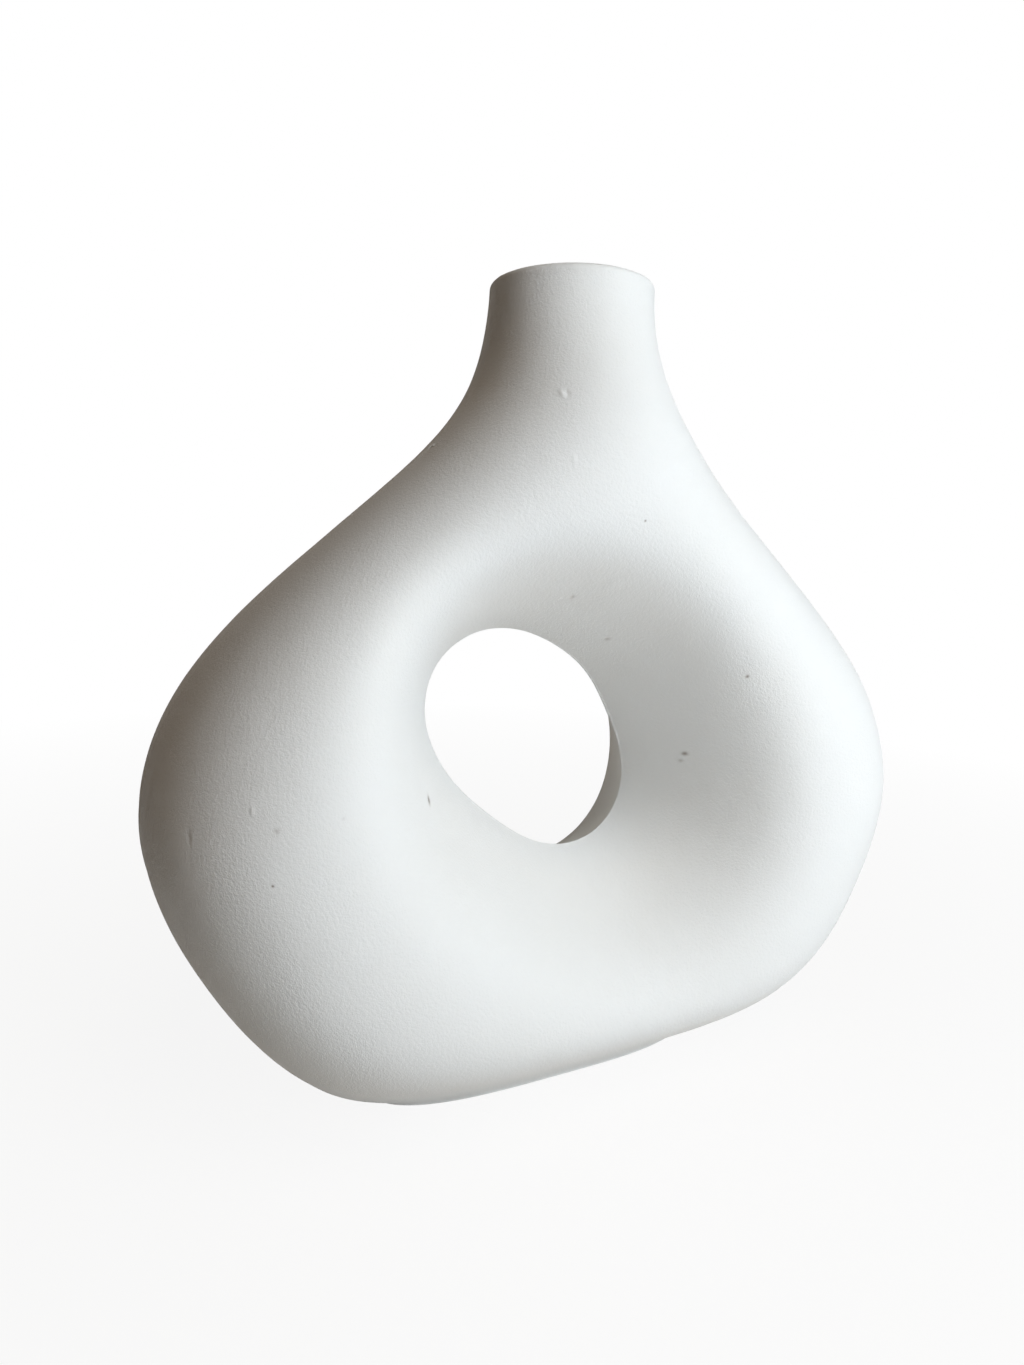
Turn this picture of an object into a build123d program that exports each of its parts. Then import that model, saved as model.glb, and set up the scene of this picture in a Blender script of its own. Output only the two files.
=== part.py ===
from build123d import *
import math
import os

import numpy as np

# A hollow ring vase: two pressed clay halves joined on the mid-plane, closed below by a flat base slab.
# Millimetres. The origin is the middle of the base, +Z is up, the front faces -Y.

# Body
height = 300.0
belly_height = 113.4
belly_half_width = 147.8
belly_half_depth = 79.0
foot_half_width = 68.0
foot_half_depth = 20.0
mouth_radius = 29.9
mouth_tilt = 1.5

# Clay
wall = 5.0
base_thickness = 7.0
lip_crown_share = 0.54
foot_rounding = 1.6
overrun = 2.0

# Hole through the body, an oval that leans to the left, a little egg-shaped and square
hole_height = 133.6
hole_offset = -8.0
hole_radius = 40.9
hole_oval_share = 0.21
hole_lean = -46.0
hole_egg_share = -0.026
hole_square_share = -0.028
flare_width = 78.5

# How full the level sections are: 2 is an ellipse, more is squarer
belly_fullness = 3.3
face_fullness = 2.45
round_fullness = 2.0
shoulder_height = 150.0
round_neck_height = 240.0

# How the hole opens out to the faces: the power of its start at the waist and of its soft outer rim
flare_start_power = 1.15
flare_rim_power = 1.76

# The blank runs on past both cuts: a shallow bowl below the foot and a dome above the mouth
keel_depth = 13.0
collar_height = 15.0

# Half width and half depth up the body. Each row is a share of the rise and a share of the swell:
# from foot to belly in the lower tables, and from belly to mouth in the upper ones.
width_below_shares = ((0.07, 0.226), (0.18, 0.407), (0.35, 0.6), (0.62, 0.84))
width_above_shares = ((0.145, 0.958), (0.305, 0.809), (0.44, 0.605), (0.555, 0.402), (0.665, 0.212),
                      (0.765, 0.079), (0.88, 0.012))
depth_below_shares = ((0.105, 0.211), (0.31, 0.691), (0.71, 0.969))
depth_above_shares = ((0.33, 0.743), (0.545, 0.583), (0.735, 0.367))

# Sections that make up each half ring, and points along one side of a section
section_count = 20
point_count = 14
outline_steps = 400
crossing_rounds = 20
end_crowding_share = 0.6
slope_step_share = 0.0001


def smooth_through(places, values, start_slope):
    """A smooth curve through the values, with a given slope at the start and none at the end."""
    count = len(places)
    gap = np.diff(places)
    rise = np.diff(values) / gap
    rows, right_side = np.eye(count), np.zeros(count)
    rows[0, :2] = 2 * gap[0], gap[0]
    right_side[0] = 6 * (rise[0] - start_slope)
    rows[-1, -2:] = gap[-1], 2 * gap[-1]
    right_side[-1] = -6 * rise[-1]
    for i in range(1, count - 1):
        rows[i, i - 1:i + 2] = gap[i - 1], 2 * (gap[i - 1] + gap[i]), gap[i]
        right_side[i] = 6 * (rise[i] - rise[i - 1])
    bend = np.linalg.solve(rows, right_side)

    def value_at(place):
        i = min(max(int(np.searchsorted(places, place)) - 1, 0), count - 2)
        after, before = places[i + 1] - place, place - places[i]
        start = values[i] / gap[i] - bend[i] * gap[i] / 6
        end = values[i + 1] / gap[i] - bend[i + 1] * gap[i] / 6
        return (bend[i] * after**3 + bend[i + 1] * before**3) / (6 * gap[i]) + start * after + end * before

    return value_at


class Profile:
    """A half width or half depth that changes with the height, set in from the outside by an inset."""

    def __init__(self, foot, belly, below, above, inset):
        lower = [(0.0, 0.0), *below, (1.0, 1.0)]
        upper = [*above, (1.0, 0.0)]
        places = [rise * belly_height for rise, _ in lower]
        places += [belly_height + rise * (height - belly_height) for rise, _ in upper]
        values = [foot + swell * (belly - foot) for _, swell in lower]
        values += [mouth_radius + swell * (belly - mouth_radius) for _, swell in upper]
        outside = smooth_through(places, values, values[0] / (2 * keel_depth))
        places, values = self.set_in(places, values, outside, inset)
        self.foot_place, self.foot, self.neck = places[0], values[0], values[-1]
        self.curve = smooth_through(places, values, self.foot / (2 * keel_depth))

    @staticmethod
    def set_in(places, values, outside, inset):
        """Moves each point of the curve in, square to the curve."""
        step = slope_step_share * height
        moved_places, moved_values = [], []
        for place, value in zip(places, values):
            low, high = max(place - step, 0), min(place + step, height)
            slope = (outside(high) - outside(low)) / (high - low)
            length = math.hypot(1, slope)
            moved_places.append(place + inset * slope / length)
            moved_values.append(value - inset / length)
        moved_places[-1] = height
        return moved_places, moved_values

    def at(self, place):
        if place < self.foot_place:
            return self.foot * math.sqrt(max(0, 1 + (place - self.foot_place) / keel_depth))
        if place > height:
            over_collar = max(0, place - height - collar_height)
            return math.sqrt(max(0, self.neck**2 - over_collar**2))
        return self.curve(place)


class Skin:
    """One smooth surface of the ring: the outside, or the inside of the wall at an inset."""

    def __init__(self, inset):
        self.inset = inset
        self.width = Profile(foot_half_width, belly_half_width, width_below_shares, width_above_shares, inset)
        self.depth = Profile(foot_half_depth, belly_half_depth, depth_below_shares, depth_above_shares, inset)
        self.bottom = self.width.foot_place - keel_depth
        self.top = height + collar_height + self.width.neck

    def waist(self, angle):
        """Radius of the waist of the hole."""
        oval = hole_oval_share * math.cos(2 * (angle - math.radians(hole_lean)))
        egg = hole_egg_share * math.cos(3 * angle)
        square = hole_square_share * math.cos(4 * angle)
        return (hole_radius + self.inset) * (1 + oval + egg + square)

    def middle_angle(self, up):
        """Angle at which the waist crosses the plane x = 0, above the hole (1) or below it (-1)."""
        angle = up * math.pi / 2
        for _ in range(crossing_rounds):
            angle = up * math.acos(-hole_offset / self.waist(angle))
        return angle

    def reach(self, x, z):
        """Half depth of the surface at a place of the front view."""
        climb = min(max((z - shoulder_height) / (round_neck_height - shoulder_height), 0), 1)
        climb = climb * climb * (3 - 2 * climb)
        belly_power = belly_fullness + (round_fullness - belly_fullness) * climb
        face_power = face_fullness + (round_fullness - face_fullness) * climb
        across = min(abs(x) / self.width.at(z), 1)
        body = self.depth.at(z) * (1 - across**belly_power)**(1 / face_power)
        aside, above = x - hole_offset, z - hole_height
        from_waist = math.hypot(aside, above) - self.waist(math.atan2(above, aside))
        open_share = min(max(from_waist / flare_width, 0), 1)
        return body * (1 - (1 - open_share)**flare_rim_power)**(1 / flare_start_power)

    def outline(self, side, shares):
        """Points of the outline on one side, at shares of its length from the bottom to the top."""
        points = []
        for k in range(outline_steps + 1):
            z = self.bottom + (self.top - self.bottom) * (1 - math.cos(math.pi * k / outline_steps)) / 2
            points.append((side * self.width.at(z), z))
        run = np.concatenate([[0], np.cumsum([math.dist(a, b) for a, b in zip(points[:-1], points[1:])])])
        wanted = [share * run[-1] for share in shares]
        wanted_x = np.interp(wanted, run, [x for x, _ in points])
        wanted_z = np.interp(wanted, run, [z for _, z in points])
        return list(zip(wanted_x, wanted_z))

    def sections(self, side):
        """Planes and closed curves of the ring's sections, from the bottom round one side to the top."""
        shares = []
        for k in range(section_count + 1):
            crowded = (1 - math.cos(math.pi * k / section_count)) / 2
            shares.append(end_crowding_share * crowded + (1 - end_crowding_share) * k / section_count)
        start_angle, turn = self.middle_angle(-1), self.middle_angle(1) - self.middle_angle(-1)
        if side < 0:
            turn -= 2 * math.pi
        for share, (end_x, end_z) in zip(shares, self.outline(side, shares)):
            angle = start_angle + share * turn
            start_x = hole_offset + self.waist(angle) * math.cos(angle)
            start_z = hole_height + self.waist(angle) * math.sin(angle)
            length = math.dist((start_x, start_z), (end_x, end_z))
            out_x, out_z = (end_x - start_x) / length, (end_z - start_z) / length
            front = [(0, 0)]
            for j in range(1, point_count):
                along = length * (1 - math.cos(math.pi * j / point_count)) / 2
                front.append((along, self.reach(start_x + along * out_x, start_z + along * out_z)))
            points = [*front, (length, 0), *((along, -reach) for along, reach in reversed(front))]
            spacing = [k / (2 * point_count) for k in range(2 * point_count + 1)]
            plane = Plane(origin=(start_x, 0, start_z), x_dir=(out_x, 0, out_z), z_dir=(out_z, 0, -out_x))
            yield plane, Edge.make_spline(points, parameters=spacing)


def half_ring(skin, side):
    """One side of the solid ring inside a skin, lofted from the bottom to the top."""
    with BuildPart() as half:
        for plane, curve in skin.sections(side):
            with BuildSketch(plane):
                with BuildLine():
                    add(curve)
                make_face()
        loft()
    return half.part


outer_skin = Skin(0)
inner_skin = Skin(wall)

# The mouth is cut a little out of level, and what is cut off the wall leaves its lip crowned
tilt = math.radians(mouth_tilt)
lip_slope = (math.cos(tilt), 0, math.sin(tilt))
lip_axis = (-math.sin(tilt), 0, math.cos(tilt))
lip_plane = Plane(origin=(0, 0, height), x_dir=lip_slope, z_dir=lip_axis)
lip_section = Plane(origin=lip_plane.origin, x_dir=lip_plane.x_dir, z_dir=-lip_plane.y_dir)
lip_radius = mouth_radius - wall / 2
lip_crown = lip_crown_share * wall
with BuildPart() as above_lip:
    with BuildSketch(lip_section):
        with Locations((lip_radius, -lip_crown)):
            Rectangle(2 * (lip_crown + overrun), lip_crown + overrun, align=(Align.CENTER, Align.MIN))
            Circle(lip_crown, mode=Mode.SUBTRACT)
    revolve(axis=Axis(lip_plane.origin, lip_plane.z_dir))


def front_side(side):
    """One side of the front half: from the slab up to the lip, hollow, open at the back."""
    with BuildPart() as piece:
        add(half_ring(outer_skin, side))
        split(bisect_by=Plane.XY.offset(base_thickness), keep=Keep.TOP)
        split(bisect_by=lip_plane, keep=Keep.BOTTOM)
        add(half_ring(inner_skin, side), mode=Mode.SUBTRACT)
        split(bisect_by=Plane.XZ, keep=Keep.TOP)
    return piece.part


with BuildPart() as front_half:
    add(front_side(1))
    add(front_side(-1))
    add(above_lip.part, mode=Mode.SUBTRACT)
front_half.part.label = "front_half"

# Back half: the front half's mirror twin
with BuildPart() as back_half:
    add(front_half.part)
    mirror(about=Plane.XZ, mode=Mode.REPLACE)
back_half.part.label = "back_half"


def slab_side(side):
    """One side of the base slab, with the body's outline."""
    with BuildPart() as piece:
        add(half_ring(outer_skin, side))
        split(bisect_by=Plane.XY, keep=Keep.TOP)
        split(bisect_by=Plane.XY.offset(base_thickness), keep=Keep.BOTTOM)
    return piece.part


# Base slab: closes both halves from below
with BuildPart() as base_slab:
    add(slab_side(1))
    add(slab_side(-1))
    foot_edge = base_slab.edges().group_by(Axis.Z)[0]
    fillet(foot_edge, radius=foot_rounding)
base_slab.part.label = "base_slab"

os.makedirs("parts", exist_ok=True)
export_step(front_half.part, "parts/front_half.step")
export_step(back_half.part, "parts/back_half.step")
export_step(base_slab.part, "parts/base_slab.step")
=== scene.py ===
import math

import bpy
import numpy as np
from mathutils import Matrix, Vector


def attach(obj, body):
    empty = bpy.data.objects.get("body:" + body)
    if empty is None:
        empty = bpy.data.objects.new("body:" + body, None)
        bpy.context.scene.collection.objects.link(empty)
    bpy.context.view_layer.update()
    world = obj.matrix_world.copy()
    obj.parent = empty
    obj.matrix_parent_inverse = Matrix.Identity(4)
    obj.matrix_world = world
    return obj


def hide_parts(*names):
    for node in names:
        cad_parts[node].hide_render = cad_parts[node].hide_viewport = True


# A chalk-white ring vase of pressed clay: two halves joined on the mid-plane and a flat base slab.
# Metres. The origin is the middle of the base, +Z is up, the front faces -Y.

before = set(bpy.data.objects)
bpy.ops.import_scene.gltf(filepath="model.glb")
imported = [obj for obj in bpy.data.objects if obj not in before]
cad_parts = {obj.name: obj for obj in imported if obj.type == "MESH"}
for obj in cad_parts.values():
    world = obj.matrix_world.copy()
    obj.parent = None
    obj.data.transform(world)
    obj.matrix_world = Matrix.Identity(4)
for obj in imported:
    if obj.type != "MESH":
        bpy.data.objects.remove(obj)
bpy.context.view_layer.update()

# Body
HEIGHT = 0.300
BELLY_HEIGHT = 0.1134
BELLY_HALF_WIDTH = 0.1478
BELLY_HALF_DEPTH = 0.079
FOOT_HALF_WIDTH = 0.068
FOOT_HALF_DEPTH = 0.020
MOUTH_RADIUS = 0.0299
MOUTH_TILT = math.radians(1.5)

# Clay
WALL = 0.005
BASE_THICKNESS = 0.007
LIP_CROWN = 0.54 * WALL
FOOT_ROUNDING = 0.0016

# Hole through the body
HOLE_HEIGHT = 0.1336
HOLE_OFFSET = -0.008
HOLE_RADIUS = 0.0409
HOLE_OVAL_SHARE = 0.21
HOLE_LEAN = math.radians(-46)
HOLE_EGG_SHARE = -0.026
HOLE_SQUARE_SHARE = -0.028
FUNNEL_WIDTH = 0.036
FUNNEL_RIM_POWER = 4.0
FACE_DEPTH = 0.0715
FACE_POWER = 12.0

# How full the level sections are
BELLY_FULLNESS = 3.3
FACE_FULLNESS = 2.45
ROUND_FULLNESS = 2.0
SHOULDER_HEIGHT = 0.150
ROUND_NECK_HEIGHT = 0.240
KEEL_DEPTH = 0.013

# Half width and half depth up the body, as shares of the rise and of the swell
WIDTH_BELOW_SHARES = ((0.07, 0.226), (0.18, 0.407), (0.35, 0.6), (0.62, 0.84))
WIDTH_ABOVE_SHARES = ((0.145, 0.958), (0.305, 0.809), (0.44, 0.605), (0.555, 0.402), (0.665, 0.212),
                      (0.765, 0.079), (0.88, 0.012))
DEPTH_BELOW_SHARES = ((0.105, 0.211), (0.31, 0.691), (0.71, 0.969))
DEPTH_ABOVE_SHARES = ((0.33, 0.743), (0.545, 0.583), (0.735, 0.367))

# Cells of the skin: round the hole in four stretches, across it, up the neck and over the lip
FOOT_CELLS = 110
SIDE_CELLS = 150
NECK_CELLS = 80
ACROSS_CELLS = 120
INNER_ACROSS_CELLS = 24
NECK_ROWS = 56
LIP_ROWS = 12
SLAB_ROWS = 8
FOOT_ROUND_ROWS = 6
UNDERSIDE_ROWS = 12
RAY_STEPS = 400
END_CROWDING_SHARE = 0.65
SLOPE_STEP_SHARE = 0.0001
LIP_ROUNDS = 3

# Places on the rim of a face: its right side, the neck's root, its left side and the foot
RIGHT_PLACES = np.arange(SIDE_CELLS + 1)
NECK_PLACES = RIGHT_PLACES[-1] + np.arange(NECK_CELLS + 1)
LEFT_PLACES = NECK_PLACES[-1] + np.arange(SIDE_CELLS + 1)
FOOT_PLACES = np.append(LEFT_PLACES[-1] + np.arange(FOOT_CELLS), 0)
MID_PLANE_PLACES = np.concatenate([RIGHT_PLACES, LEFT_PLACES])

PIECES = ("front_half", "back_half", "base_slab")


def smooth_through(places, values, start_slope):
    """A smooth curve through the values, with a given slope at the start and none at the end."""
    places, values = np.array(places), np.array(values)
    count = len(places)
    gap = np.diff(places)
    rise = np.diff(values) / gap
    rows, right_side = np.eye(count), np.zeros(count)
    rows[0, :2] = 2 * gap[0], gap[0]
    right_side[0] = 6 * (rise[0] - start_slope)
    rows[-1, -2:] = gap[-1], 2 * gap[-1]
    right_side[-1] = -6 * rise[-1]
    for i in range(1, count - 1):
        rows[i, i - 1:i + 2] = gap[i - 1], 2 * (gap[i - 1] + gap[i]), gap[i]
        right_side[i] = 6 * (rise[i] - rise[i - 1])
    bend = np.linalg.solve(rows, right_side)

    def value_at(place):
        i = np.clip(np.searchsorted(places, place) - 1, 0, count - 2)
        after, before = places[i + 1] - place, place - places[i]
        start = values[i] / gap[i] - bend[i] * gap[i] / 6
        end = values[i + 1] / gap[i] - bend[i + 1] * gap[i] / 6
        return (bend[i] * after**3 + bend[i + 1] * before**3) / (6 * gap[i]) + start * after + end * before

    return value_at


def softly_capped(value, cap, power):
    """The value while it is well under the cap, and the cap beyond it, with a soft bend between."""
    return value / (1 + (value / cap)**power)**(1 / power)


class Profile:
    """A half width or half depth that changes with the height, set in from the outside by an inset."""

    def __init__(self, foot, belly, below, above, inset):
        lower = [(0.0, 0.0), *below, (1.0, 1.0)]
        upper = [*above, (1.0, 0.0)]
        places = [rise * BELLY_HEIGHT for rise, _ in lower]
        places += [BELLY_HEIGHT + rise * (HEIGHT - BELLY_HEIGHT) for rise, _ in upper]
        values = [foot + swell * (belly - foot) for _, swell in lower]
        values += [MOUTH_RADIUS + swell * (belly - MOUTH_RADIUS) for _, swell in upper]
        outside = smooth_through(places, values, foot / (2 * KEEL_DEPTH))
        step = SLOPE_STEP_SHARE * HEIGHT
        moved_places, moved_values = [], []
        for place, value in zip(places, values):
            low, high = max(place - step, 0), min(place + step, HEIGHT)
            slope = (outside(high) - outside(low)) / (high - low)
            length = math.hypot(1, slope)
            moved_places.append(place + inset * slope / length)
            moved_values.append(value - inset / length)
        moved_places[-1] = HEIGHT
        self.at = smooth_through(moved_places, moved_values, moved_values[0] / (2 * KEEL_DEPTH))


class Skin:
    """One smooth surface of the ring: the outside, or the inside of the wall at an inset."""

    def __init__(self, inset):
        self.inset = inset
        self.width = Profile(FOOT_HALF_WIDTH, BELLY_HALF_WIDTH, WIDTH_BELOW_SHARES, WIDTH_ABOVE_SHARES, inset)
        self.depth = Profile(FOOT_HALF_DEPTH, BELLY_HALF_DEPTH, DEPTH_BELOW_SHARES, DEPTH_ABOVE_SHARES, inset)

    def waist(self, angle):
        """Radius of the waist of the hole."""
        oval = HOLE_OVAL_SHARE * np.cos(2 * (angle - HOLE_LEAN))
        egg = HOLE_EGG_SHARE * np.cos(3 * angle)
        square = HOLE_SQUARE_SHARE * np.cos(4 * angle)
        return (HOLE_RADIUS + self.inset) * (1 + oval + egg + square)

    def reach(self, x, z):
        """Half depth of the surface at places of the front view."""
        climb = np.clip((z - SHOULDER_HEIGHT) / (ROUND_NECK_HEIGHT - SHOULDER_HEIGHT), 0, 1)
        climb = climb * climb * (3 - 2 * climb)
        belly_power = BELLY_FULLNESS + (ROUND_FULLNESS - BELLY_FULLNESS) * climb
        face_power = FACE_FULLNESS + (ROUND_FULLNESS - FACE_FULLNESS) * climb
        across = np.minimum(np.abs(x) / self.width.at(z), 1)
        body = self.depth.at(z) * (1 - across**belly_power)**(1 / face_power)
        aside, above = x - HOLE_OFFSET, z - HOLE_HEIGHT
        from_waist = np.hypot(aside, above) - self.waist(np.arctan2(above, aside))
        body = softly_capped(body, FACE_DEPTH, FACE_POWER)
        return body * softly_capped(np.maximum(from_waist, 0) / FUNNEL_WIDTH, 1, FUNNEL_RIM_POWER)

    def rim(self):
        """Edge of the front face, from the foot's right end up the right side and round."""
        z = np.linspace(BASE_THICKNESS, ROUND_NECK_HEIGHT, RAY_STEPS)
        side = np.stack([self.width.at(z), z], -1)
        run = np.concatenate([[0], np.cumsum(np.linalg.norm(np.diff(side, axis=0), axis=1))])
        wanted = np.linspace(0, run[-1], SIDE_CELLS + 1)
        z = np.interp(wanted, run, z)
        right = np.stack([self.width.at(z), z], -1)
        left = right[::-1] * (-1, 1)
        turn = np.pi * np.arange(1, NECK_CELLS) / NECK_CELLS
        neck = np.stack([right[-1, 0] * np.cos(turn), np.full_like(turn, ROUND_NECK_HEIGHT)], -1)
        turn = np.pi * np.arange(1, FOOT_CELLS) / FOOT_CELLS
        foot = np.stack([-right[0, 0] * np.cos(turn), np.full_like(turn, BASE_THICKNESS)], -1)
        return np.concatenate([right, neck, left, foot])

    def face(self, cells):
        """Grid of points on the front face: a row for each place on the rim, from the waist out."""
        rim = self.rim()
        centre = np.array([HOLE_OFFSET, HOLE_HEIGHT])
        angle = np.arctan2(rim[:, 1] - centre[1], rim[:, 0] - centre[0])
        start = centre + self.waist(angle)[:, None] * np.stack([np.cos(angle), np.sin(angle)], -1)
        share = (1 - np.cos(np.pi * np.arange(RAY_STEPS + 1) / RAY_STEPS)) / 2
        flat = start[:, None] + (rim - start)[:, None] * share[:, None]
        x, z = flat[..., 0], flat[..., 1]
        y = -self.reach(x, z)
        y[:, 0] = 0
        y[MID_PLANE_PLACES, -1] = 0
        ray = np.stack([x, y, z], -1)
        run = np.zeros(x.shape)
        run[:, 1:] = np.cumsum(np.linalg.norm(np.diff(ray, axis=1), axis=2), axis=1)
        even = np.arange(cells + 1) / cells
        wanted = END_CROWDING_SHARE * (1 - np.cos(np.pi * even)) / 2 + (1 - END_CROWDING_SHARE) * even
        points = np.empty((len(rim), cells + 1, 3))
        for row in range(len(rim)):
            for k in range(3):
                points[row, :, k] = np.interp(wanted * run[row, -1], run[row], ray[row, :, k])
        return points

    def neck_row(self, share):
        """Points round the front of the neck, at a share of its height from its root to the lip."""
        turn = np.pi * np.arange(NECK_CELLS + 1) / NECK_CELLS
        z = np.full(NECK_CELLS + 1, ROUND_NECK_HEIGHT)
        for _ in range(LIP_ROUNDS):
            x = self.width.at(z) * np.cos(turn)
            lip = HEIGHT - LIP_CROWN + math.tan(MOUTH_TILT) * x
            z = ROUND_NECK_HEIGHT + share * (lip - ROUND_NECK_HEIGHT)
        y = -self.reach(x, z)
        y[[0, -1]] = 0
        return np.stack([x, y, z], -1)

    def slab_row(self, z):
        """Points round the front of the slab at a height."""
        turn = np.pi * np.arange(FOOT_CELLS + 1) / FOOT_CELLS
        x = -self.width.at(z) * np.cos(turn)
        y = -self.reach(x, np.full_like(x, z))
        y[[0, -1]] = 0
        return np.stack([x, y, np.full_like(x, z)], -1)


BACK = np.array([1, -1, 1])


def quads(grid):
    """Four-sided faces between neighbouring rows and columns of a grid of point numbers."""
    return np.stack([grid[:-1, :-1], grid[:-1, 1:], grid[1:, 1:], grid[1:, :-1]], -1).reshape(-1, 4)


def closed(grid):
    """The grid with its first row again after its last."""
    return np.concatenate([grid, grid[:1]])


class Vessel:
    """The points of the whole vase, and each piece's faces as point numbers: its skin and its joints."""

    def __init__(self):
        self.points = np.empty((0, 3))
        self.outside = np.empty(0)
        self.skins = {name: [] for name in PIECES}
        self.joints = {name: [] for name in PIECES}

    def add(self, points, outside):
        """Adds points and returns their numbers, in the same layout."""
        points = np.asarray(points, float)
        first = len(self.points)
        flat = points.reshape(-1, 3)
        self.points = np.concatenate([self.points, flat])
        self.outside = np.concatenate([self.outside, np.full(len(flat), float(outside))])
        return first + np.arange(len(flat)).reshape(points.shape[:-1])

    def add_twins(self, front, outside, shared):
        """Adds front points and their mirror twins at the back. Where shared is true, both are one point."""
        front_numbers = self.add(front, outside)
        back_numbers = front_numbers.copy()
        back_numbers[~shared] = self.add((front * BACK)[~shared], outside)
        return front_numbers, back_numbers

    def add_face(self, grid, outside):
        """Adds a face, front and back, which share the hole's waist and the two sides."""
        shared = np.zeros(grid.shape[:2], bool)
        shared[:, 0] = True
        shared[MID_PLANE_PLACES, -1] = True
        return self.add_twins(grid, outside, shared)

    def add_rows(self, rows, outside):
        """Adds rows from one end of the mid-plane to the other, front and back, which share their ends."""
        rows = np.stack(rows)
        shared = np.zeros(rows.shape[:2], bool)
        shared[:, [0, -1]] = True
        return self.add_twins(rows, outside, shared)

    def add_between(self, front, back):
        """Adds rows of points across a flat, from its front edge to its back edge."""
        start, end = self.points[front], self.points[back]
        rows = [front]
        for k in range(1, UNDERSIDE_ROWS):
            row = front.copy()
            row[1:-1] = self.add((start + (end - start) * k / UNDERSIDE_ROWS)[1:-1], 0)
            rows.append(row)
        return np.stack([*rows, back])


def lip_rows(outer, inner):
    """Rows over the lip, a half round from the neck's outside to its inside."""
    outside_edge, inside_edge = outer.neck_row(1), inner.neck_row(1)
    middle, spread = (outside_edge + inside_edge) / 2, (outside_edge - inside_edge) / 2
    crown = np.array([-math.sin(MOUTH_TILT), 0, math.cos(MOUTH_TILT)]) * LIP_CROWN
    turns = [math.pi * k / LIP_ROWS for k in range(1, LIP_ROWS)]
    return [middle + spread * math.cos(turn) + crown * math.sin(turn) for turn in turns]


def slab_rows(outer):
    """Rows down the slab with the body's outline, and round its lower edge to the flat."""
    rows = [outer.slab_row(z) for z in np.linspace(BASE_THICKNESS, FOOT_ROUNDING, SLAB_ROWS + 1)[1:]]
    edge = rows[-1]
    for k in range(1, FOOT_ROUND_ROWS + 1):
        turn = math.pi / 2 * k / FOOT_ROUND_ROWS
        inward = FOOT_ROUNDING * (1 - math.cos(turn))
        row = edge.copy()
        row[:, 0] *= 1 - inward / FOOT_HALF_WIDTH
        row[:, 1] *= 1 - inward / FOOT_HALF_DEPTH
        row[:, 2] = FOOT_ROUNDING * (1 - math.sin(turn))
        rows.append(row)
    return rows


def add_half(vessel, name, face, inside, neck, inner_neck, lip):
    """Faces of one shell: its skin, then where it meets the other shell and the slab."""
    def faces(grid):
        return quads(grid[::-1] if name == "back_half" else grid)

    neck = np.concatenate([face[NECK_PLACES, -1][None], neck])
    inner_neck = np.concatenate([inside[NECK_PLACES, -1][None], inner_neck])
    lip = np.concatenate([neck[-1:], lip, inner_neck[-1:]])
    vessel.skins[name] += [faces(closed(face)), faces(closed(inside)[::-1])]
    vessel.skins[name] += [faces(neck.T), faces(inner_neck.T[::-1]), faces(lip.T)]

    joints = vessel.joints[name]
    joints.append(faces(closed(np.stack([inside[:, 0], face[:, 0]], -1))))
    for places in (RIGHT_PLACES, LEFT_PLACES, FOOT_PLACES):
        joints.append(faces(np.stack([face[places, -1], inside[places, -1]], -1)))
    for column, order in ((0, 1), (-1, -1)):
        joints.append(faces(np.stack([neck[:, column], inner_neck[:, column]], -1)[::order]))
        cap = lip[:, column][::order]
        joints.append(faces(np.stack([cap, cap[::-1]], -1)[:LIP_ROWS // 2 + 1]))


def add_slab(vessel, outer_faces, slabs):
    """Faces of the slab: its wall and its underside, then its top, which both shells stand on."""
    tops = [face[FOOT_PLACES, -1] for face in outer_faces]
    front_wall, back_wall = [np.concatenate([top[None], rows]) for top, rows in zip(tops, slabs)]
    underside = vessel.add_between(slabs[0][-1], slabs[1][-1])
    vessel.skins["base_slab"] += [quads(front_wall.T), quads(back_wall.T[::-1]), quads(underside[::-1])]
    vessel.joints["base_slab"].append(quads(vessel.add_between(*tops)))


def build_vessel():
    """The points and faces of the whole vase, before its finish."""
    vessel = Vessel()
    outer, inner = Skin(0), Skin(WALL)
    outer_faces = vessel.add_face(outer.face(ACROSS_CELLS), 1)
    inner_faces = vessel.add_face(inner.face(INNER_ACROSS_CELLS), 0)
    rising = np.arange(1, NECK_ROWS + 1) / NECK_ROWS
    outer_necks = vessel.add_rows([outer.neck_row(share) for share in rising], 1)
    inner_necks = vessel.add_rows([inner.neck_row(share) for share in rising], 0)
    lips = vessel.add_rows(lip_rows(outer, inner), 1)
    slabs = vessel.add_rows(slab_rows(outer), 1)
    halves = zip(("front_half", "back_half"), outer_faces, inner_faces, outer_necks, inner_necks, lips)
    for half in halves:
        add_half(vessel, *half)
    add_slab(vessel, outer_faces, slabs)
    return vessel


def without_slivers(faces):
    """The faces with repeated corners taken out, as lists, and nothing that is left with under three."""
    kept = []
    for face in faces.tolist():
        corners = list(dict.fromkeys(face))
        if len(corners) > 2:
            kept.append(corners)
    return kept


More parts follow.
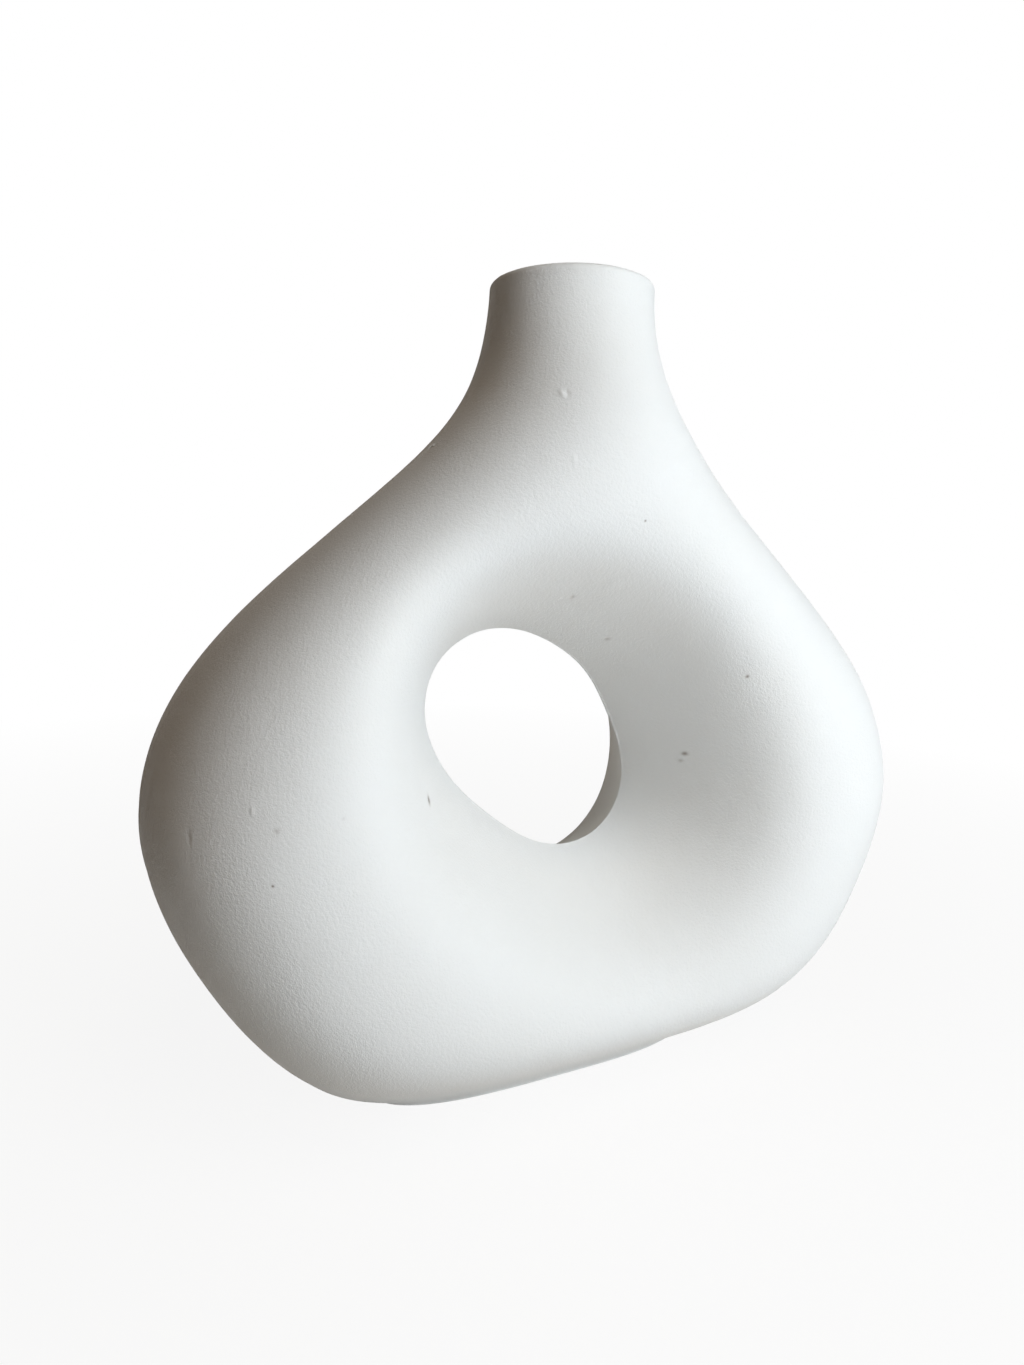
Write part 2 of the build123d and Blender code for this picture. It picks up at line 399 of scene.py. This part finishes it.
class Term:
    """A socket of a node tree that can be written into sums."""

    def __init__(self, tree, socket):
        self.tree = tree
        self.socket = socket

    def __add__(self, other):
        return self.tree.maths("ADD", self, other)

    def __radd__(self, other):
        return self.tree.maths("ADD", other, self)

    def __sub__(self, other):
        return self.tree.maths("SUBTRACT", self, other)

    def __rsub__(self, other):
        return self.tree.maths("SUBTRACT", other, self)

    def __mul__(self, other):
        return self.tree.maths("MULTIPLY", self, other)

    def __rmul__(self, other):
        return self.tree.maths("MULTIPLY", other, self)

    def __truediv__(self, other):
        return self.tree.maths("DIVIDE", self, other)

    def __rtruediv__(self, other):
        return self.tree.maths("DIVIDE", other, self)

    def __neg__(self):
        return self.tree.maths("MULTIPLY", self, -1)

    def __abs__(self):
        return self.tree.maths("ABSOLUTE", self)

    def clamped(self):
        return self.tree.maths("ADD", self, 0, clamp=True)

    def hill(self, half_width):
        """One at zero, falling off smoothly on both sides within a few half widths."""
        return self.tree.maths("EXPONENT", -((self / half_width) * (self / half_width)))


class Added:
    """A node that was added to a tree."""

    def __init__(self, tree, node):
        self.tree = tree
        self.node = node

    def out(self, name):
        return Term(self.tree, self.node.outputs[name])


class Tree:
    """A node tree, shader or geometry, with one way to add a node."""

    def __init__(self, node_tree):
        self.node_tree = node_tree

    def add(self, kind, settings=None, inputs=()):
        node = self.node_tree.nodes.new(kind)
        for name, value in (settings or {}).items():
            setattr(node, name, value)
        pairs = inputs.items() if isinstance(inputs, dict) else enumerate(inputs)
        for name, value in pairs:
            if isinstance(value, Term):
                self.node_tree.links.new(value.socket, node.inputs[name])
            else:
                node.inputs[name].default_value = value
        return Added(self, node)

    def maths(self, operation, *inputs, clamp=False):
        return self.add("ShaderNodeMath", {"operation": operation, "use_clamp": clamp}, inputs).out(0)

    def vector(self, operation, *inputs):
        node = self.add("ShaderNodeVectorMath", {"operation": operation}, inputs)
        return node.out("Value" if operation in ("DOT_PRODUCT", "LENGTH", "DISTANCE") else "Vector")

    def scaled(self, vector, scale):
        inputs = {"Vector": vector, "Scale": scale}
        return self.add("ShaderNodeVectorMath", {"operation": "SCALE"}, inputs).out("Vector")

    def parts(self, vector):
        """The three shares of a vector."""
        node = self.add("ShaderNodeSeparateXYZ", {}, [vector])
        return [node.out(k) for k in range(3)]

    def noise(self, place, feature, detail=2.0, roughness=0.5, seed=0.0):
        """Noise from about 0 to 1 with features of a size."""
        inputs = {"Vector": place, "W": seed, "Scale": 1 / feature, "Detail": detail, "Roughness": roughness}
        return self.add("ShaderNodeTexNoise", {"noise_dimensions": "4D"}, inputs).out("Fac")

    def mixed(self, factor, first, second):
        return self.add("ShaderNodeMix", {"data_type": "RGBA"}, {0: factor, 6: first, 7: second}).out(2)


# Hand finish: how far the pressed and scraped clay departs from the smooth form
WAVE_HEIGHT = 0.0006
WAVE_LENGTH = 0.055
DIMPLE_HEIGHT = 0.00022
DIMPLE_LENGTH = 0.014
SEAM_HEIGHT = 0.00035
SEAM_HALF_WIDTH = 0.0013
FINISH_DEPTH = 0.0004
FOOT_FADE = 0.015
FINISH_SEED = 3.0
FINISH_SIZES = (("Wave height", WAVE_HEIGHT), ("Wave length", WAVE_LENGTH),
                ("Dimple height", DIMPLE_HEIGHT), ("Dimple length", DIMPLE_LENGTH),
                ("Seam height", SEAM_HEIGHT), ("Seam half width", SEAM_HALF_WIDTH),
                ("Depth", FINISH_DEPTH), ("Foot fade", FOOT_FADE), ("Seed", FINISH_SEED))

# Where the joint's line shows: in patches of the noise, and where the skin is edge on to the front
SEAM_START = 0.3
SEAM_CONTRAST = 3
EDGE_ON_LIMIT = 0.35
EDGE_ON_CONTRAST = 6


def hand_finish():
    """Geometry tree that draws the skin in a little, with waves, dimples and the raised line of the joint."""
    group = bpy.data.node_groups.new("hand_finish", "GeometryNodeTree")
    face = group.interface
    face.new_socket("Geometry", in_out="INPUT", socket_type="NodeSocketGeometry")
    for name, _ in FINISH_SIZES:
        face.new_socket(name, in_out="INPUT", socket_type="NodeSocketFloat")
    face.new_socket("Material", in_out="INPUT", socket_type="NodeSocketMaterial")
    face.new_socket("Geometry", in_out="OUTPUT", socket_type="NodeSocketGeometry")

    tree = Tree(group)
    given = tree.add("NodeGroupInput")
    seed = given.out("Seed")
    place = tree.add("GeometryNodeInputPosition").out(0)
    normal = tree.add("GeometryNodeInputNormal").out(0)
    outside = tree.add("GeometryNodeInputNamedAttribute", {"data_type": "FLOAT"}, {"Name": "outside"}).out(0)
    x, y, z = tree.parts(place)

    in_waves = tree.scaled(place, 1 / given.out("Wave length"))
    in_dimples = tree.scaled(place, 1 / given.out("Dimple length"))
    waves = tree.noise(in_waves, 1.0, 1.0, seed=seed) - 0.5
    dimples = tree.noise(in_dimples, 1.0, 1.0, seed=seed + 1) - 0.5
    worn = tree.noise(place, given.out("Wave length"), seed=seed + 2)
    shown = ((worn - SEAM_START) * SEAM_CONTRAST).clamped()
    edge_on = ((EDGE_ON_LIMIT - abs(tree.parts(normal)[1])) * EDGE_ON_CONTRAST).clamped()
    seam = y.hill(given.out("Seam half width")) * edge_on * shown
    lift = waves * given.out("Wave height") + dimples * given.out("Dimple height")
    lift = lift + seam * given.out("Seam height")
    off_foot = (z / given.out("Foot fade")).clamped()
    drawn_in = tree.maths("MINIMUM", lift - given.out("Depth"), 0) * outside * off_foot
    moved = tree.add("GeometryNodeSetPosition", {}, {
        "Geometry": given.out("Geometry"), "Offset": tree.scaled(normal, drawn_in)})
    real = tree.add("GeometryNodeRealizeInstances", {}, [moved.out(0)])
    coloured = tree.add("GeometryNodeSetMaterial", {}, {
        "Geometry": real.out(0), "Material": given.out("Material")})
    tree.add("NodeGroupOutput", {}, [coloured.out(0)])
    return group


# Clay surface: a leathery grain, finer sand in it, and the strokes of a damp sponge round the hole
PEEL_FEATURE = 0.0010
PEEL_HEIGHT = 0.00013
SAND_FEATURE = 0.0004
SAND_HEIGHT = 0.00011
STROKE_FEATURE = 0.0011
STROKE_LENGTH_SHARE = 0.045
STROKE_HEIGHT = 0.00007
PATCH_FEATURE = 0.035
PATCH_START = 0.44
PATCH_CONTRAST = 5
TINT_FEATURE = 0.05
ROUGHNESS = 0.85
SHINE = 0.12

# Marks in the front face: x, z, half width, tallness, depth (negative where it is raised),
# and share of the dark colour
MARKS = (
    (-0.0208, 0.2557, 0.0008, 1.3, 0.00020, 0.05),
    (-0.0221, 0.2557, 0.0009, 1.5, -0.00022, 0.0),
    (-0.0225, 0.2343, 0.0008, 1.8, -0.00012, 0.0),
    (-0.1152, 0.1285, 0.0007, 1.0, 0.0, 0.25),
    (-0.1166, 0.1134, 0.00035, 1.0, 0.00012, 0.9),
    (-0.1210, 0.1334, 0.0006, 2.0, -0.00015, 0.0),
    (-0.1362, 0.1239, 0.0005, 4.0, 0.00020, 0.10),
    (-0.0976, 0.1311, 0.0005, 1.0, 0.0, 0.12),
    (-0.0609, 0.1233, 0.0006, 1.9, 0.00040, 0.80),
    (-0.0092, 0.1906, 0.0009, 0.8, 0.00030, 0.25),
    (0.0127, 0.1745, 0.0008, 0.8, 0.00020, 0.30),
    (0.0019, 0.2170, 0.00035, 1.0, 0.00012, 0.75),
    (0.0458, 0.1303, 0.0006, 1.3, 0.00030, 0.70),
    (0.0456, 0.1270, 0.0005, 1.2, 0.00030, 0.35),
    (0.0511, 0.1645, 0.0005, 1.2, 0.00020, 0.70),
    (-0.0001, 0.1956, 0.0030, 0.7, -0.00020, 0.0),
)
FRONT_FADE = 0.002
MARK_COLOUR = (0.20, 0.14, 0.10, 1)
CLAY_COLOUR = (0.83, 0.825, 0.81, 1)
WARM_CLAY_COLOUR = (0.80, 0.785, 0.755, 1)


def chalk():
    """Matt chalk white over clay, with a leathery grain, sponge strokes and a few pits and specks."""
    material = bpy.data.materials.new("chalk_white_clay")
    material.use_nodes = True
    material.node_tree.nodes.clear()
    tree = Tree(material.node_tree)
    place = tree.add("ShaderNodeTexCoord").out("Object")
    x, y, z = tree.parts(place)

    peel = tree.noise(place, PEEL_FEATURE, 1.0)
    sand = tree.noise(place, SAND_FEATURE, 2.0, seed=1.0)
    aside, above = x - HOLE_OFFSET, z - HOLE_HEIGHT
    radius = tree.maths("SQRT", aside * aside + above * above)
    round_hole = tree.add("ShaderNodeCombineXYZ", {}, [
        aside / radius * STROKE_LENGTH_SHARE, above / radius * STROKE_LENGTH_SHARE, radius + y])
    strokes = tree.noise(round_hole.out(0), STROKE_FEATURE, 1.0, seed=2.0)
    patchy = tree.noise(place, PATCH_FEATURE, 2.0, seed=3.0)
    patches = ((patchy - PATCH_START) * PATCH_CONTRAST).clamped()
    relief = peel * PEEL_HEIGHT + sand * SAND_HEIGHT + strokes * patches * STROKE_HEIGHT

    front = (-y / FRONT_FADE).clamped()
    marked = 0.0
    for mark_x, mark_z, half_width, tallness, depth, shown in MARKS:
        wide, tall = (x - mark_x) / half_width, (z - mark_z) / (half_width * tallness)
        spot = tree.maths("EXPONENT", -(wide * wide + tall * tall)) * front
        relief = relief - spot * depth
        marked = spot * shown + marked
    tint = tree.noise(place, TINT_FEATURE, 3.0, seed=4.0)
    clay = tree.mixed(tint, WARM_CLAY_COLOUR, CLAY_COLOUR)
    colour = tree.mixed(marked.clamped(), clay, MARK_COLOUR)
    bump = tree.add("ShaderNodeBump", {}, {"Strength": 1.0, "Distance": 1.0, "Height": relief})
    shader = tree.add("ShaderNodeBsdfPrincipled", {}, {
        "Base Color": colour, "Roughness": ROUGHNESS, "Specular IOR Level": SHINE, "Normal": bump.out(0)})
    tree.add("ShaderNodeOutputMaterial", {}, [shader.out(0)])
    return material


def finished_skin(vessel, faces, clay):
    """The points and normals of the whole skin, with the hand finish on."""
    mesh = bpy.data.meshes.new("whole_skin")
    mesh.from_pydata(vessel.points.tolist(), [], faces)
    mesh.shade_smooth()
    mesh.attributes.new("outside", "FLOAT", "POINT").data.foreach_set("value", vessel.outside)
    whole = bpy.data.objects.new("whole_skin", mesh)
    bpy.context.scene.collection.objects.link(whole)
    finish = whole.modifiers.new("hand_finish", "NODES")
    finish.node_group = hand_finish()
    settings = {**dict(FINISH_SIZES), "Material": clay}
    for socket in finish.node_group.interface.items_tree:
        if socket.in_out == "INPUT" and socket.name in settings:
            finish[socket.identifier] = settings[socket.name]
    depsgraph = bpy.context.evaluated_depsgraph_get()
    finished = bpy.data.meshes.new_from_object(whole.evaluated_get(depsgraph))
    whole.modifiers.remove(finish)
    points, normals = np.empty(len(finished.vertices) * 3), np.empty(len(finished.vertices) * 3)
    finished.vertices.foreach_get("co", points)
    finished.vertex_normals.foreach_get("vector", normals)
    bpy.data.objects.remove(whole)
    return points.reshape(-1, 3), normals.reshape(-1, 3)


def make_pieces():
    """Finishes the whole skin at once, then parts it into the halves and the slab."""
    vessel = build_vessel()
    clay = chalk()
    skins = {name: without_slivers(np.concatenate(vessel.skins[name])) for name in PIECES}
    joints = {name: without_slivers(np.concatenate(vessel.joints[name])) for name in PIECES}
    points, normals = finished_skin(vessel, [face for name in PIECES for face in skins[name]], clay)
    for name in PIECES:
        part_out(name, points, normals, skins[name], joints[name], clay)


def part_out(name, points, normals, skin_faces, joint_faces, clay):
    """One piece: its share of the skin, shaded as part of the whole, and its flat joint faces."""
    faces = skin_faces + joint_faces
    used = np.unique(np.concatenate([np.array(face) for face in faces]))
    number = np.full(len(points), -1)
    number[used] = np.arange(len(used))
    mesh = bpy.data.meshes.new(name + "_clay")
    mesh.from_pydata(points[used].tolist(), [], [[int(number[k]) for k in face] for face in faces])
    mesh.shade_smooth()
    mesh.materials.append(clay)
    loops = np.empty((len(mesh.loops), 3))
    corner = 0
    for k, face in enumerate(faces):
        size = len(face)
        loops[corner:corner + size] = normals[face] if k < len(skin_faces) else mesh.polygons[k].normal
        corner += size
    mesh.normals_split_custom_set(loops.tolist())
    piece = bpy.data.objects.new(name + "_clay", mesh)
    bpy.context.scene.collection.objects.link(piece)
    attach(piece, "root")
    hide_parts(name)


# Camera: where the photograph was taken from
CAMERA_PLACE = Vector((-0.155493, -0.278889, 0.208767))
CAMERA_YAW = math.radians(26.385)
CAMERA_PITCH = math.radians(-9.617)
CAMERA_ROLL = math.radians(2.483)
CAMERA_FOCAL_PIXELS = 833.279
IMAGE_WIDTH_PIXELS = 1024
SENSOR_WIDTH = 36.0
CAMERA_CLIP_START = 0.01


def set_camera():
    """The camera at the photograph's place and angle."""
    data = bpy.data.cameras.new("photo_camera")
    data.sensor_fit = "HORIZONTAL"
    data.sensor_width = SENSOR_WIDTH
    data.lens = CAMERA_FOCAL_PIXELS / IMAGE_WIDTH_PIXELS * SENSOR_WIDTH
    data.clip_start = CAMERA_CLIP_START
    camera = bpy.data.objects.new("photo_camera", data)
    bpy.context.scene.collection.objects.link(camera)
    forward = Vector((math.sin(CAMERA_YAW) * math.cos(CAMERA_PITCH),
                      math.cos(CAMERA_YAW) * math.cos(CAMERA_PITCH), math.sin(CAMERA_PITCH)))
    level = Vector((math.cos(CAMERA_YAW), -math.sin(CAMERA_YAW), 0))
    up = level.cross(forward)
    right = level * math.cos(CAMERA_ROLL) + up * math.sin(CAMERA_ROLL)
    up = up * math.cos(CAMERA_ROLL) - level * math.sin(CAMERA_ROLL)
    turn = Matrix((right, up, -forward)).transposed().to_4x4()
    camera.matrix_world = Matrix.Translation(CAMERA_PLACE) @ turn
    bpy.context.scene.camera = camera


# Lamps: place, size of the square, power and colour. All are aimed at the middle of the vase.
LAMP_AIM = (0, 0, 0.14)
LAMPS = {
    "low_window": ((0.219, -0.602, 0.253), 0.3, 2.42, (0.89, 0.945, 1.0)),
    "high_window": ((0.17, -0.468, 0.558), 0.3, 1.15, (0.74, 0.89, 1.0)),
    "far_window": ((0.40, -0.93, 0.776), 0.5, 1.15, (0.76, 0.88, 1.0)),
    "ceiling": ((0.0, -0.563, 1.2), 0.5, 2.7, (1.0, 0.80, 0.60)),
    "room_left": ((-1.195, 0.0, 0.245), 0.5, 0.2, (1.0, 0.50, 0.10)),
    "back_room": ((-0.1, 1.2, 0.2), 0.5, 2.5, (1.0, 0.93, 0.82)),
}
ROOM_COLOUR = (0.55, 0.5, 0.45, 1)
ROOM_STRENGTH = 0.02
WHITE = (1, 1, 1, 1)


def add_lamp(name, place, size, power, colour):
    """A soft square lamp at a place, aimed at the vase."""
    data = bpy.data.lights.new(name, "AREA")
    data.shape = "SQUARE"
    data.size = size
    data.energy = power
    data.color = colour
    lamp = bpy.data.objects.new(name, data)
    bpy.context.scene.collection.objects.link(lamp)
    lamp.location = place
    lamp.rotation_euler = (Vector(LAMP_AIM) - Vector(place)).to_track_quat("-Z", "Y").to_euler()


def seen_rays(tree):
    """One for the rays that show the ground as such: from the camera, and by way of gloss and glass."""
    rays = tree.add("ShaderNodeLightPath")
    seen = tree.maths("MAXIMUM", rays.out("Is Camera Ray"), rays.out("Is Glossy Ray"))
    return tree.maths("MAXIMUM", seen, rays.out("Is Transmission Ray"))


def set_light():
    """Soft cool daylight low from the right, and a dim warm room on the left, on a white ground."""
    world = bpy.data.worlds.new("studio")
    bpy.context.scene.world = world
    world.use_nodes = True
    world.node_tree.nodes.clear()
    tree = Tree(world.node_tree)
    dim = tree.add("ShaderNodeBackground", {}, {"Color": ROOM_COLOUR, "Strength": ROOM_STRENGTH})
    white = tree.add("ShaderNodeBackground", {}, {"Color": WHITE, "Strength": 1.0})
    both = tree.add("ShaderNodeMixShader", {}, [seen_rays(tree), dim.out(0), white.out(0)])
    tree.add("ShaderNodeOutputWorld", {}, [both.out(0)])
    for name, lamp in LAMPS.items():
        add_lamp(name, *lamp)


# Floor: how much of it is plain white near the vase, and from where it is nothing but white
FLOOR_HALF_SIZE = 6.0
NEAR_WHITE_SHARE = 0.9
FADE_START = 0.15
FADE_END = 0.75
FLOOR_COLOUR = (0.80, 0.775, 0.74, 1)


def set_floor():
    """A plain pale floor that keeps the vase's shadow and fades into the white ground."""
    size = FLOOR_HALF_SIZE
    mesh = bpy.data.meshes.new("floor")
    corners = [(-size, -size, 0), (size, -size, 0), (size, size, 0), (-size, size, 0)]
    mesh.from_pydata(corners, [], [(0, 1, 2, 3)])
    floor = bpy.data.objects.new("floor", mesh)
    bpy.context.scene.collection.objects.link(floor)
    material = bpy.data.materials.new("pale_floor")
    material.use_nodes = True
    material.node_tree.nodes.clear()
    tree = Tree(material.node_tree)
    place = tree.add("ShaderNodeTexCoord").out("Object")
    away = ((tree.vector("LENGTH", place) - FADE_START) / (FADE_END - FADE_START)).clamped()
    white_share = (NEAR_WHITE_SHARE + away * (1 - NEAR_WHITE_SHARE)) * seen_rays(tree)
    lit = tree.add("ShaderNodeBsdfDiffuse", {}, {"Color": FLOOR_COLOUR})
    white = tree.add("ShaderNodeEmission", {}, {"Color": WHITE, "Strength": 1.0})
    both = tree.add("ShaderNodeMixShader", {}, [white_share, lit.out(0), white.out(0)])
    tree.add("ShaderNodeOutputMaterial", {}, [both.out(0)])
    mesh.materials.append(material)


make_pieces()
set_camera()
set_light()
set_floor()
bpy.context.scene.view_settings.view_transform = "Standard"
